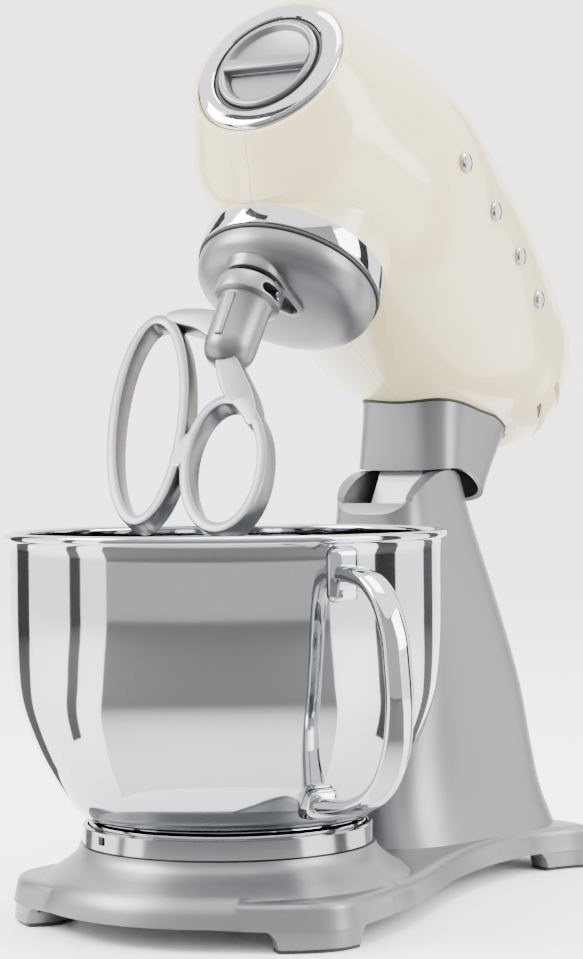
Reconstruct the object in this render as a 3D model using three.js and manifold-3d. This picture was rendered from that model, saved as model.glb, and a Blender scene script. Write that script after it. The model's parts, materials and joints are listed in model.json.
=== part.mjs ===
// Tilt-head stand mixer, shown with its head tilted up. Millimetres, +Z up, front towards -Y.
// Every piece is drawn about the bowl axis (x = 0, y = 0) with the table at z = 0.
// The finished group is then moved so that its origin is the centre of its own footprint box.
import * as THREE from "three";
import { mergeVertices } from "three/addons/utils/BufferGeometryUtils.js";
import Module from "manifold-3d";

const wasm = await Module();
wasm.setup();

// ---- Driving dimensions ----
const GAP = 0.3;
const TILT = THREE.MathUtils.degToRad(33.4);
const HINGE_Y = 202;
const HINGE_Z = 184;
const PLANETARY_Z = 247.4; // plane under the planetary band with the head down
const HEAD_WALL = 3;
const NOSE_Y = -80;
const HUB_Z = 88.2; // front hub axis above the planetary plane
const TAIL_Y = 265;
const TAIL_START_Y = 195;
const TAIL_Z = 80;
const TOOL_OFFSET = 29.25; // tool axis from the planetary axis
const GEAR_MODULE = 2.25;
const RING_TEETH = 38;
const PLANET_TEETH = 12;
const CARRIER_TEETH = 40;
const CARRIER_MODULE = 1.875;
const IDLER_TEETH = 32;
const MOTOR_MODULE = 1.5;
const PINION_TEETH = 8;
const BOWL_RIM_R = 117.5;
const BOWL_RIM_Z = 207.5;
const BOWL_WALL = 1;
const BOWL_FOOT_Z = 53.6;
const SEAT_R = 78;
const SEAT_Z = 43;
const HANDLE_AZIMUTH = THREE.MathUtils.degToRad(63.5); // from the front towards the left side
const BASE_LOW_Z = 11;
const BASE_TOP_Z = 25;
const NECK_SWEEP_R = 57; // the neck's lower edge turns about the hinge at this radius
const NECK_WALL = 3;
const PIN_R = 6;
const LATCH_Y = 228;
const LATCH_Z = 164;
const BUTTON_Z = 150;
const BAND_R = 53.3;
const IDLER_Y = 45;
const MOTOR_Y = 75;
const BEVEL_TEETH = 12;
const SPINDLE_R = 5.5;
const PIN_Z = -33;
const BEATER_DEPTH = 12;
const STRAP = 6.5;
const STUD_PLACES = [[18, 92], [63, 92], [106, 92], [144, 88]];

// ---- Finishes ----
const finish = (color, roughness, metalness) => () =>
  new THREE.MeshStandardMaterial({ color, roughness, metalness });
const creamPaint = finish(0xefe9d2, 0.18, 0);
const satinSilver = finish(0xb4b6bb, 0.42, 0.85);
const mirrorChrome = finish(0xd9dce0, 0.06, 1);
const castAluminium = finish(0xa9abae, 0.5, 0.9);
const polishedSteel = finish(0xd2d4d7, 0.1, 1);
const plainSteel = finish(0x8c8f94, 0.3, 1);
const blackRubber = finish(0x161617, 0.8, 0);
const blackPlastic = finish(0x1c1d1f, 0.5, 0);
const bronze = finish(0xa9793c, 0.35, 0.9);
const copperWinding = finish(0x9c5a2b, 0.4, 0.8);
const boardGreen = finish(0x1f5a3a, 0.5, 0);

// ---- Solids ----
// A closed geometry as a manifold solid, moved by an optional matrix.
function solid(geometry, matrix) {
  const flat = geometry.index ? geometry.toNonIndexed() : geometry.clone();
  flat.deleteAttribute("normal");
  flat.deleteAttribute("uv");
  if (matrix) flat.applyMatrix4(matrix);
  const merged = mergeVertices(flat, 1e-3);
  const triVerts = [];
  const index = merged.index.array;
  for (let i = 0; i < index.length; i += 3) {
    const [a, b, c] = [index[i], index[i + 1], index[i + 2]];
    if (a !== b && b !== c && c !== a) triVerts.push(a, b, c);
  }
  const vertProperties = merged.attributes.position.array;
  const mesh = new wasm.Mesh({ numProp: 3, vertProperties, triVerts: new Uint32Array(triVerts) });
  return new wasm.Manifold(mesh);
}

// A manifold solid back as a three.js geometry.
function geometryOf(body) {
  const mesh = body.simplify(0.12).getMesh();
  const geometry = new THREE.BufferGeometry();
  geometry.setAttribute("position", new THREE.BufferAttribute(mesh.vertProperties, 3));
  geometry.setIndex(new THREE.BufferAttribute(mesh.triVerts, 1));
  const faceted = geometry.toNonIndexed();
  faceted.computeVertexNormals();
  return faceted;
}

// The matrix of a move after a turn about x, y and z in degrees.
function place(x, y, z, rx = 0, ry = 0, rz = 0) {
  const turn = new THREE.Euler(...[rx, ry, rz].map(THREE.MathUtils.degToRad));
  const at = new THREE.Vector3(x, y, z);
  return new THREE.Matrix4().compose(at, new THREE.Quaternion().setFromEuler(turn), new THREE.Vector3(1, 1, 1));
}

// A cylinder or cone standing on z = low, from radius r to radius topR.
function rod(r, low, high, { x = 0, y = 0, topR = r, sides = 18 } = {}) {
  const shape = new THREE.CylinderGeometry(topR, r, high - low, sides);
  return solid(shape, place(x, y, (low + high) / 2, 90, 0, 0));
}

// A cylinder along x.
function crossRod(r, from, to, y, z, sides = 18) {
  const shape = new THREE.CylinderGeometry(r, r, to - from, sides);
  return solid(shape, place((from + to) / 2, y, z, 0, 0, 90));
}

// A cylinder along y.
function longRod(r, from, to, x, z, sides = 18) {
  return solid(new THREE.CylinderGeometry(r, r, to - from, sides), place(x, (from + to) / 2, z));
}

function block(x0, x1, y0, y1, z0, z1) {
  const shape = new THREE.BoxGeometry(x1 - x0, y1 - y0, z1 - z0);
  return solid(shape, place((x0 + x1) / 2, (y0 + y1) / 2, (z0 + z1) / 2));
}

// A profile of [radius, height] points turned about z; it closes on itself or ends on the axis.
function turned(profile, segments = 48, matrix) {
  const points = profile.map(([r, z]) => new THREE.Vector2(r, z));
  if (profile[0][0] > 0) points.push(points[0].clone());
  const upright = place(0, 0, 0, 90, 0, 0);
  return solid(new THREE.LatheGeometry(points, segments), matrix ? matrix.clone().multiply(upright) : upright);
}

// A flat shape drawn in x and y, extruded upwards between two heights.
function slab(shape, low, high, curveSegments = 14) {
  const geometry = new THREE.ExtrudeGeometry(shape, { depth: high - low, bevelEnabled: false, curveSegments });
  return solid(geometry, place(0, 0, low));
}

// A side profile drawn in y and z, extruded along x.
function sidePlate(points, x0, x1) {
  const shape = new THREE.Shape(points.map(([y, z]) => new THREE.Vector2(y, z)));
  const geometry = new THREE.ExtrudeGeometry(shape, { depth: x1 - x0, bevelEnabled: false });
  const turn = new THREE.Matrix4().makeBasis(
    new THREE.Vector3(0, 1, 0),
    new THREE.Vector3(0, 0, 1),
    new THREE.Vector3(1, 0, 0),
  );
  return solid(geometry, place(x0, 0, 0).multiply(turn));
}

// A closed skin over a row of rings, each with the same number of points, ends capped flat.
function skin(rings, matrix) {
  const count = rings[0].length;
  const points = rings.flat();
  const ends = [rings[0], rings[rings.length - 1]].map((ring) =>
    ring.reduce((sum, p) => sum.add(p), new THREE.Vector3()).divideScalar(count),
  );
  const index = [];
  for (let r = 0; r + 1 < rings.length; r += 1) {
    for (let i = 0; i < count; i += 1) {
      const [a, b] = [r * count + i, r * count + ((i + 1) % count)];
      index.push(a, b, b + count, a, b + count, a + count);
    }
  }
  const last = (rings.length - 1) * count;
  for (let i = 0; i < count; i += 1) {
    const next = (i + 1) % count;
    index.push(points.length, next, i, points.length + 1, last + i, last + next);
  }
  const geometry = new THREE.BufferGeometry().setFromPoints([...points, ...ends]);
  geometry.setIndex(index);
  const body = solid(geometry, matrix);
  if (body.volume() > 0) return body;
  for (let i = 0; i < index.length; i += 3) [index[i + 1], index[i + 2]] = [index[i + 2], index[i + 1]];
  geometry.setIndex(index);
  return solid(geometry, matrix);
}

// A smooth value read between stations [[position, value], ...] in rising order.
function along(stations, position) {
  const at = THREE.MathUtils.clamp(position, stations[0][0], stations[stations.length - 1][0]);
  let k = 0;
  while (k + 2 < stations.length && at > stations[k + 1][0]) k += 1;
  const slope = (i) => {
    const a = stations[Math.max(i - 1, 0)];
    const b = stations[Math.min(i + 1, stations.length - 1)];
    return (b[1] - a[1]) / (b[0] - a[0]);
  };
  const [x0, y0] = stations[k];
  const [x1, y1] = stations[k + 1];
  const t = (at - x0) / (x1 - x0);
  const step = x1 - x0;
  const [t2, t3] = [t * t, t * t * t];
  return (
    y0 * (2 * t3 - 3 * t2 + 1) +
    slope(k) * step * (t3 - 2 * t2 + t) +
    y1 * (3 * t2 - 2 * t3) +
    slope(k + 1) * step * (t3 - t2)
  );
}

// The outline of a gear with straight-sided teeth; inward teeth make the hole of a ring gear.
function gearOutline(module, teeth, { inward = false, phase = 0 } = {}) {
  const pitch = (2 * Math.PI) / teeth;
  const side = inward ? -1 : 1;
  const tipR = module * (teeth / 2 + side * 0.8);
  const rootR = module * (teeth / 2 - side * 1.15);
  const points = [];
  for (let i = 0; i < teeth; i += 1) {
    const middle = i * pitch + phase;
    for (const [offset, r] of [[-0.26, rootR], [-0.12, tipR], [0.12, tipR], [0.26, rootR]]) {
      const angle = middle + offset * pitch;
      points.push(new THREE.Vector2(r * Math.cos(angle), r * Math.sin(angle)));
    }
  }
  return points;
}

function gear(module, teeth, low, high, options = {}) {
  const { x = 0, y = 0 } = options;
  const outline = gearOutline(module, teeth, options).map((p) => new THREE.Vector2(p.x + x, p.y + y));
  return slab(new THREE.Shape(outline), low, high);
}

// ---- Scene graph: the stand and bowl stand in the mixer's frame, the head turns on the hinge ----
const mixer = new THREE.Group();
const hinge = new THREE.Group();
hinge.position.set(0, HINGE_Y, HINGE_Z);
hinge.rotation.x = -TILT;
mixer.add(hinge);
const head = new THREE.Group();
head.position.set(0, -HINGE_Y, PLANETARY_Z - HINGE_Z);
hinge.add(head);
hinge.updateMatrixWorld(true);
const headToMixer = head.matrixWorld.clone();
const mixerToHead = headToMixer.clone().invert();

function add(parent, name, body, material) {
  const mesh = new THREE.Mesh(geometryOf(body), material());
  mesh.name = name;
  parent.add(mesh);
}

// ---- Stand casting: base, waist and column in one hollow aluminium casting ----
// Half of the base outline from the front centre round the left side to the rear centre.
const BASE_HALF = [
  [0, -93], [40, -89], [75, -79], [98, -62], [106, -44], [105, -12], [101, 24],
  [93, 60], [84, 95], [77, 135], [75, 175], [79, 210], [90, 236], [99, 250], [84, 264], [45, 274],
];
const BASE_POINTS = 36;

// The base outline, moved inwards by an inset.
function baseOutline(inset) {
  const left = BASE_HALF.map(([x, y]) => new THREE.Vector3(x, y, 0));
  const right = BASE_HALF.slice(1).reverse().map(([x, y]) => new THREE.Vector3(-x, y, 0));
  const curve = new THREE.CatmullRomCurve3([...left, new THREE.Vector3(0, 277, 0), ...right], true);
  const points = curve.getPoints(BASE_POINTS).slice(0, -1);
  return points.map((p, i) => {
    const before = points[(i + BASE_POINTS - 1) % BASE_POINTS];
    const after = points[(i + 1) % BASE_POINTS];
    const along = after.clone().sub(before).normalize();
    return new THREE.Vector3(p.x - along.y * inset, p.y + along.x * inset, 0);
  });
}

const ringAt = (points, z) => points.map((p) => new THREE.Vector3(p.x, p.y, z));

function baseBody(inset, low, high, roundOver) {
  const rings = [ringAt(baseOutline(inset), low)];
  rings.push(ringAt(baseOutline(inset + 2), high - roundOver));
  for (const part of [0.5, 1]) {
    const lift = roundOver * Math.sin((part * Math.PI) / 2);
    const pull = roundOver * (1 - Math.cos((part * Math.PI) / 2));
    rings.push(ringAt(baseOutline(inset + 2 + pull), high - roundOver + lift));
  }
  return skin(rings);
}

// Column sections by height: front face, rear face, front and rear half widths.
const COLUMN = {
  front: [[15, 104], [25, 108], [45, 116], [70, 125], [110, 136], [160, 146], [214, 155], [250, 155]],
  rear: [[15, 275], [25, 275], [45, 274], [70, 273], [110, 269], [160, 258], [214, 240], [250, 224]],
  frontHalf: [[15, 66], [25, 60], [45, 52], [70, 47], [110, 43], [160, 37], [214, 30], [250, 29]],
  rearHalf: [[15, 86], [25, 82], [45, 72], [70, 65], [110, 57], [160, 44], [214, 31.5], [250, 29]],
};
const SECTION_POINTS = 20;

// One column section: a rounded trapezium, drawn as a superellipse that widens to the rear.
function columnRing(z, inset) {
  const front = along(COLUMN.front, z) + inset;
  const rear = along(COLUMN.rear, z) - inset;
  const ring = [];
  for (let i = 0; i < SECTION_POINTS; i += 1) {
    const angle = (2 * Math.PI * i) / SECTION_POINTS;
    const [c, s] = [Math.cos(angle), Math.sin(angle)];
    const u = Math.sign(s) * Math.abs(s) ** 0.5;
    const widen = (u + 1) / 2;
    const half = along(COLUMN.frontHalf, z) * (1 - widen) + along(COLUMN.rearHalf, z) * widen - inset;
    const y = (front + rear) / 2 + (u * (rear - front)) / 2;
    ring.push(new THREE.Vector3(Math.sign(c) * Math.abs(c) ** 0.5 * half, y, z));
  }
  return ring;
}

function columnBody(inset, low, high) {
  const levels = 5;
  const rings = [];
  for (let i = 0; i <= levels; i += 1) rings.push(columnRing(low + ((high - low) * i) / levels, inset));
  return skin(rings);
}

// The outline of the neck, wide enough to pass over the column's top.
const neckSweep = (r) => crossRod(r, -60, 60, HINGE_Y, HINGE_Z, 32);

const FOOT_PLACES = [
  ["front_left", 90, -56],
  ["front_right", -90, -56],
  ["rear_left", 86, 246],
  ["rear_right", -86, 246],
];
const SCREW_PLACES = [[58, -30], [-58, -30], [55, 205], [-55, 205]];

// Several solids joined into one, and one solid with several cut away.
const joined = (...bodies) => bodies.reduce((all, body) => all.add(body));
const without = (body, ...cuts) => cuts.reduce((rest, cut) => rest.subtract(cut), body);

function standCasting() {
  const columnLimit = joined(neckSweep(NECK_SWEEP_R - 1), block(-120, 120, 90, 300, 0, HINGE_Z));
  const seatCone = [[0, 12], [104, 12], [101, 22], [88, 32], [80, SEAT_Z - 1], [0, SEAT_Z - 1]];
  const footLimit = baseBody(0.6, 1, 18, 0.5);
  const feet = FOOT_PLACES.map(([, x, y]) => rod(24, 1.9, 16, { x, y, topR: 26 }).intersect(footLimit));
  const outer = joined(
    columnBody(0, 16, 246).intersect(columnLimit),
    turned(seatCone, 30),
    baseBody(0, BASE_LOW_Z, BASE_TOP_Z, 5),
    ...feet,
  );
  const hollow = joined(
    columnBody(5, 10, 176),
    turned([[0, 8], [96, 8], [92, 22], [74, 36], [0, 36]], 24),
    baseBody(5, 8, BASE_TOP_Z - 4, 3),
  );
  // The open top: a slot for the hinge arm between two ears, cut lower at the front.
  const armSlot = block(-21, 21, 160, 226, 140, 260).intersect(neckSweep(NECK_SWEEP_R + 4));
  const shell = without(
    outer,
    hollow,
    armSlot,
    block(-21, 21, 140, 190, 221, 260),
    block(-60, 60, 140, 163.5, 222, 260),
    crossRod(PIN_R + GAP, -28, 28, HINGE_Y, HINGE_Z),
    longRod(11.5, 225, 290, 0, BUTTON_Z),
    crossRod(2.5, -34, 34, LATCH_Y, LATCH_Z, 16),
    longRod(8, 250, 300, -30, 42),
    rod(16, 30, 60),
  );
  const bosses = SCREW_PLACES.map(([x, y]) => rod(5, 13.6, 40, { x, y, sides: 10 }).intersect(outer));
  const rib = block(-90, 90, 203, 207, 13.6, 34).intersect(outer);
  const latchRib = without(
    block(-60, 60, LATCH_Y - 5, LATCH_Y + 5, LATCH_Z - 6, LATCH_Z + 14),
    block(-14, 14, 0, 300, 100, 200),
    crossRod(2.5, -34, 34, LATCH_Y, LATCH_Z, 16),
    armSlot,
  ).intersect(outer);
  const screwHoles = SCREW_PLACES.map(([x, y]) => rod(2, 12, 27, { x, y, sides: 8 }));
  return without(joined(shell, rib, latchRib, ...bosses), ...screwHoles);
}

add(mixer, "stand_casting", standCasting(), satinSilver);

// ---- Under the base: cover plate, screws and rubber feet ----
const footprint = (inset) => new THREE.Shape(baseOutline(inset).map((p) => new THREE.Vector2(p.x, p.y)));
const plateHoles = SCREW_PLACES.map(([x, y]) => rod(2.1, 10, 15, { x, y, sides: 8 }));
add(mixer, "base_plate", without(slab(footprint(6.8), 11.2, 13.2), ...plateHoles), blackPlastic);
SCREW_PLACES.forEach(([x, y], i) => {
  const driverSlot = block(x - 3, x + 3, y - 0.5, y + 0.5, 8, 9.7);
  const screwHead = without(rod(3.8, 8.9, 10.9, { x, y, sides: 14 }), driverSlot);
  add(mixer, `base_screw_${i + 1}`, joined(screwHead, rod(1.7, 10, 25, { x, y, sides: 8 })), plainSteel);
});
for (const [corner, x, y] of FOOT_PLACES) {
  const pad = rod(22.5, 0, 1.6, { x, y }).intersect(baseBody(1.6, -2, 12, 0.5));
  add(mixer, `foot_${corner}`, pad, blackRubber);
}

// ---- Bowl seat on the stand and the lock ring that turns in it ----
const seatWall = [[18, 42.3], [SEAT_R + 0.3, 42.3], [SEAT_R + 0.3, 52.4], [SEAT_R - 0.4, 53]];
const seatInside = [[SEAT_R - 2.4, 53], [SEAT_R - 2.4, 44.8], [18, 44.8]];
const seatNotch = block(-3.5, 3.5, -84, -70, 46, 50.5).transform(place(0, 0, 0, 0, 0, -25).elements);
add(mixer, "seat_plate", without(turned([...seatWall, ...seatInside], 36), seatNotch), polishedSteel);
const lockRing = turned([[46, 45.1], [75.2, 45.1], [75.2, 48.9], [46, 48.9]], 32);
const lockNotches = [0, 120, 240].map((angle) =>
  block(-8, 8, -80, -70, 40, 60).transform(place(0, 0, 0, 0, 0, angle).elements),
);
add(mixer, "bowl_lock_ring", without(lockRing, ...lockNotches), plainSteel);

// ---- Bowl ----
const BOWL_SIDES = 32;
const BOWL_SIDE = [
  [116.2, 200], [116, 155], [114.6, 133], [112.4, 120], [107.5, 105.4],
  [100.2, 89], [92.2, 75.3], [85.3, 65], [77.5, 57], [73, 54.6],
];
function bowlShell() {
  const outside = [[0, 54.6], ...BOWL_SIDE.slice().reverse()];
  const bead = [];
  for (let i = 0; i <= 5; i += 1) {
    const angle = -Math.PI / 2 + (i * 1.55 * Math.PI) / 5;
    bead.push([BOWL_RIM_R + 2.5 * Math.cos(angle), BOWL_RIM_Z + 2.5 * Math.sin(angle)]);
  }
  const inside = BOWL_SIDE.map(([r, z]) => [r - BOWL_WALL * 1.1, z + (z < 90 ? BOWL_WALL * 0.8 : 0)]);
  return turned([...outside, ...bead, ...inside, [0, 55.6]], BOWL_SIDES);
}
add(mixer, "bowl_shell", bowlShell(), mirrorChrome);
const bowlFoot = [[67, 49.2], [74.8, 49.2], [74.8, 54.3], [67, 54.3]];
add(mixer, "bowl_foot", turned(bowlFoot, 36), mirrorChrome);

// The D handle: a swept oval bar with two pads shaped to the bowl's side.
function bowlHandle() {
  const line = [
    [116, 190], [130, 189.5], [147, 183.5], [159, 168], [165, 145], [165.5, 122],
    [160, 100], [148, 84], [130, 75], [108, 71.5], [92, 71],
  ];
  const path = new THREE.CatmullRomCurve3(line.map(([r, z]) => new THREE.Vector3(0, -r, z)));
  const oval = new THREE.Shape();
  for (let i = 0; i < 10; i += 1) {
    const angle = (i * Math.PI) / 5;
    oval[i ? "lineTo" : "moveTo"](4.5 * Math.cos(angle), 7.5 * Math.sin(angle));
  }
  const bar = solid(new THREE.ExtrudeGeometry(oval, { extrudePath: path, steps: 20, bevelEnabled: false }));
  const topPad = block(-9.5, 9.5, -120, -100, 175, 204);
  const lowPad = block(-9.5, 9.5, -100, -80, 63, 80);
  const turn = place(0, 0, 0, 0, 0, THREE.MathUtils.radToDeg(HANDLE_AZIMUTH));
  const clearance = BOWL_SIDE.map(([r, z]) => [r + GAP + 0.1, z - 0.2]).reverse();
  const clear = turned([[0, 50], ...clearance, [BOWL_RIM_R + GAP + 0.4, 206], [0, 206]], BOWL_SIDES);
  return without(joined(bar, topPad, lowPad).transform(turn.elements), clear);
}
add(mixer, "bowl_handle", bowlHandle(), mirrorChrome);

// ---- Hinge pin, head latch and its button, in the column ----
add(mixer, "hinge_pin", crossRod(PIN_R, -27.6, 27.6, HINGE_Y, HINGE_Z), plainSteel);
add(mixer, "latch_pin", crossRod(2.1, -29, 29, LATCH_Y, LATCH_Z, 16), plainSteel);
const pawlArm = sidePlate(
  [
    [LATCH_Y - 4, LATCH_Z + 9], [LATCH_Y + 1, LATCH_Z + 4], [LATCH_Y + 5, LATCH_Z],
    [LATCH_Y + 5, BUTTON_Z - 4], [LATCH_Y, BUTTON_Z - 4], [LATCH_Y - 3, LATCH_Z - 2], [LATCH_Y - 6, LATCH_Z + 8],
  ],
  -7,
  7,
);
const pawlHub = crossRod(5, -7, 7, LATCH_Y, LATCH_Z, 20);
const pawl = without(joined(pawlArm, pawlHub), crossRod(2.4, -8, 8, LATCH_Y, LATCH_Z, 16));
add(mixer, "latch_pawl", pawl, plainSteel);
const plunger = longRod(2.5, LATCH_Y + 5.4, 246, 0, BUTTON_Z, 16);
const button = joined(longRod(11.1, 244, 261.5, 0, BUTTON_Z), plunger);
add(mixer, "release_button", button, mirrorChrome);
const gland = joined(longRod(7.6, 262, 276, -30, 42, 16), longRod(10.5, 275, 280, -30, 42, 16));
add(mixer, "cord_gland", without(gland, longRod(3.6, 250, 290, -30, 42, 10)), blackRubber);

// ---- Head shell: two hollow halves meeting on the centre line ----
const HEAD = {
  half: [[-80, 48.5], [-62, 55], [-30, 65], [20, 77.7], [80, 76], [140, 72.5], [195, 65]],
  top: [[-80, 136.7], [-62, 143], [-30, 148], [80, 149], [140, 145], [195, 138]],
  bottom: [
    [-80, 39.9], [-74, 33], [-66, 25.6], [-59, 18], [-54.5, 13.8], [-46, 12.3],
    [20, 11], [80, 10.5], [140, 13.6], [170, 22], [195, 33],
  ],
};
const HEAD_POINTS = 22;
const smooth = (t) => t * t * (3 - 2 * t);

// One head section: round at the nose, squarer above and fuller below further back.
function headRing(y, inset, scale = 1, lift = 0) {
  const fullness = smooth(THREE.MathUtils.clamp((y - NOSE_Y) / 80, 0, 1));
  const [top, bottom] = [along(HEAD.top, y) - inset, along(HEAD.bottom, y) + inset];
  const half = along(HEAD.half, y) - inset;
  const ring = [];
  for (let i = 0; i < HEAD_POINTS; i += 1) {
    const angle = (2 * Math.PI * (i + 0.5)) / HEAD_POINTS;
    const [c, s] = [Math.cos(angle), Math.sin(angle)];
    const power = 2 / (s > 0 ? 2 + 1.2 * fullness : 2 + 0.2 * fullness);
    const x = Math.sign(c) * Math.abs(c) ** power * half * scale;
    const z = (Math.sign(s) * Math.abs(s) ** power * scale * (top - bottom)) / 2;
    ring.push(new THREE.Vector3(x, y, (top + bottom) / 2 + z + lift));
  }
  return ring;
}

// The whole head skin, moved inwards by an inset.
function headSkin(inset) {
  const rings = [-80, -72, -65, -59, -54, -44, -20, 20, 80, 130, 165].map((y) =>
    headRing(y === NOSE_Y ? y + inset : y, inset),
  );
  const reach = TAIL_Y - inset - TAIL_START_Y;
  for (const t of [0, 0.34, 0.6, 0.8, 0.92, 0.985]) {
    const ring = headRing(TAIL_START_Y, inset, Math.sqrt(1 - t ** 2.1), -t * t * 5.5);
    rings.push(ring.map((p) => new THREE.Vector3(p.x, p.y + t * reach, p.z)));
  }
  return skin(rings);
}

const headOuter = headSkin(0);
const frontPlace = place(0, 0, HUB_Z, 90, 0, 0); // heights above z become distances towards the front
const collarBody = (inset) => {
  const spans = [[195, 190, 232], [230, 190, 253], [258, 192, 278], [283, 194, 300], [300, 196, 315]];
  const rings = spans.map(([z, front, rear]) => {
    const [middle, reach] = [(front + rear) / 2, (rear - front) / 2 - inset];
    const half = 34.5 - inset + (z > 270 ? (z - 270) * 0.05 : 0);
    return Array.from({ length: 20 }, (_, i) => {
      const angle = (2 * Math.PI * i) / 20;
      const [c, s] = [Math.cos(angle), Math.sin(angle)];
      const x = Math.sign(c) * Math.abs(c) ** 0.5 * half;
      return new THREE.Vector3(x, middle + Math.sign(s) * Math.abs(s) ** 0.5 * reach, z);
    });
  });
  return skin(rings).transform(mixerToHead.elements);
};

function headShell(side) {
  const hollow = headSkin(HEAD_WALL);
  const [ventLow, ventHigh] = side > 0 ? [17, 70] : [-70, -17];
  const vents = [44, 59, 74].map((z) => block(ventLow, ventHigh, 212, 275, z - 2.6, z + 2.6));
  const half = side > 0 ? block(0.15, 90, -100, 300, -20, 200) : block(-90, -0.15, -100, 300, -20, 200);
  const studHoles = STUD_PLACES.map(([y, z]) => crossRod(1.7, 60, 90, y, z, 8));
  const skirt = rod(BAND_R - 0.5, 12.7, 32, { sides: 48 });
  return without(
    joined(headOuter, skirt).intersect(half),
    hollow,
    rod(BAND_R + 1, -20, 12.7, { sides: 48 }),
    rod(50, 5, 36, { sides: 48 }),
    longRod(45.4, -95, -60, 0, HUB_Z, 48),
    block(-17, 17, 143, 206, 0, 45),
    block(-3.4, 3.4, 58, 122, 130, 160),
    ...vents,
    ...(side > 0 ? studHoles : []),
  );
}
add(head, "head_shell_left", headShell(1), creamPaint);
add(head, "head_shell_right", headShell(-1), creamPaint);

// The head's half width at a distance back and a height above its middle.
function headWidthAt(y, z) {
  const [top, bottom] = [along(HEAD.top, y), along(HEAD.bottom, y)];
  const rise = (z - (top + bottom) / 2) / ((top - bottom) / 2);
  return along(HEAD.half, y) * (1 - Math.abs(rise) ** 3.2) ** (1 / 3.2);
}
STUD_PLACES.forEach(([y, z], i) => {
  const flank = Math.max(headWidthAt(y - 6, z), headWidthAt(y + 6, z)) + 0.4;
  const stem = crossRod(1.3, flank - 6, flank + 1, y, z, 8);
  const stud = joined(crossRod(5.5, flank, flank + 2.2, y, z, 20), stem);
  add(head, `badge_stud_${i + 1}`, stud, mirrorChrome);
});

const sleeve = without(collarBody(0), collarBody(NECK_WALL));
const sweepInHead = neckSweep(NECK_SWEEP_R + 0.3).transform(mixerToHead.elements);
add(head, "neck_collar", without(sleeve, headSkin(-1.5), sweepInHead), satinSilver);
const gasketSleeve = without(collarBody(-0.5), collarBody(NECK_WALL + 0.5));
add(head, "collar_gasket", without(gasketSleeve.intersect(headSkin(-1.2)), headSkin(-0.3)), blackRubber);

// ---- Front hub: chrome ring, seal, plug and the round knob with its finger bar ----
const frontRing = [[33.6, 69], [45.1, 69], [45.1, 80.5], [43.6, 82.6], [35.4, 83.4], [33.6, 82.4]];
add(head, "chrome_front_ring", turned(frontRing, 36, frontPlace), mirrorChrome);
add(head, "front_seal", turned([[31, 71], [33.3, 71], [33.3, 82], [31, 81.4]], 32, frontPlace), blackRubber);
const plugBore = longRod(4.3, -90, -60, 0, HUB_Z, 20);
add(head, "cap_plug", without(longRod(30.3, -77.6, -67, 0, HUB_Z, 40), plugBore), blackPlastic);
const knobDish = turned([[0, 81], [25.4, 81], [26.6, 84.5], [26.6, 90], [0, 90]], 30, frontPlace);
const knobDeep = knobDish.intersect(block(-40, 40, -100, -60, 0, HUB_Z - 3)).transform(place(0, 1.6, 0).elements);
const knobBar = block(-26.2, 26.2, -85.6, -80, HUB_Z - 3.6, HUB_Z + 3.6);
const knobFace = turned([[0, 77.9], [30.6, 77.9], [30.6, 83.4], [29.2, 84.6], [0, 84.6]], 32, frontPlace);
const knob = joined(without(knobFace, knobDish, knobDeep), knobBar, longRod(4, -80, -66, 0, HUB_Z, 20));
add(head, "cap_knob", knob, satinSilver);

// ---- Head frame: gearbox plate, motor deck, front bearing post and the hinge arm ----
const PIVOT_Z = HINGE_Z - PLANETARY_Z;
function headFrame() {
  const plate = block(-44, 44, -47, 168, 15.8, 21);
  const posts = [[32, 62], [-32, 62], [32, 92], [-32, 92]].map(([x, y]) => rod(5, 20, 48, { x, y, sides: 10 }));
  const idlerStub = rod(4, 18, 46, { y: IDLER_Y, sides: 20 });
  const deck = rod(39, 47.5, 52, { y: MOTOR_Y, sides: 28 });
  const frontPost = joined(block(-9, 9, -46.5, -39.6, 18, HUB_Z), longRod(13.5, -46.5, -39.6, 0, HUB_Z, 20));
  const inside = joined(plate, idlerStub, ...posts, deck, frontPost).intersect(headSkin(HEAD_WALL + 0.6));
  const armSide = [
    [184, -70], [168, -52], [168, -25], [160, 12], [160, 26], [196, 26], [196, 0], [191, -15], [191, -45], [215, -52],
  ];
  const arm = joined(sidePlate(armSide, -15, 15), crossRod(22, -15, 15, HINGE_Y, PIVOT_Z, 28));
  return without(
    joined(inside, block(-15, 15, 116, 176, 20.4, 26), rod(21, 12.6, 22, { sides: 20 }), arm),
    rod(16.3, 10, 25, { sides: 18 }),
    rod(9.3, 45, 55, { y: MOTOR_Y, sides: 24 }),
    longRod(6.3, -50, -35, 0, HUB_Z, 24),
    crossRod(PIN_R + GAP, -20, 20, HINGE_Y, PIVOT_Z),
  );
}
add(head, "head_frame", headFrame(), castAluminium);
for (const [side, from, to] of [["left", 15.4, 20.6], ["right", -20.6, -15.4]]) {
  const bush = crossRod(11, from, to, HINGE_Y, PIVOT_Z, 28);
  add(head, `hinge_bush_${side}`, without(bush, crossRod(PIN_R + GAP, -25, 25, HINGE_Y, PIVOT_Z)), bronze);
}

// ---- Planetary: chrome band and gasket on the head, ring gear, and the turning carrier ----
add(head, "planetary_band", turned([[51, 0.4], [BAND_R - 0.8, 0.4], [BAND_R, 1.2], [BAND_R, 12.4], [51, 12.4]], 36), mirrorChrome);
add(head, "planetary_gasket", turned([[50.6, -1.6], [52.8, -1.6], [52.8, 0.1], [50.6, 0.1]], 36), blackRubber);
const ringPhase = -Math.PI / 2 + Math.PI / RING_TEETH;
const ringTeeth = gear(GEAR_MODULE, RING_TEETH, 0, 20, { inward: true, phase: ringPhase });
add(head, "ring_gear", without(rod(48.6, 3, 10.8, { sides: 38 }), ringTeeth), plainSteel);

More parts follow.
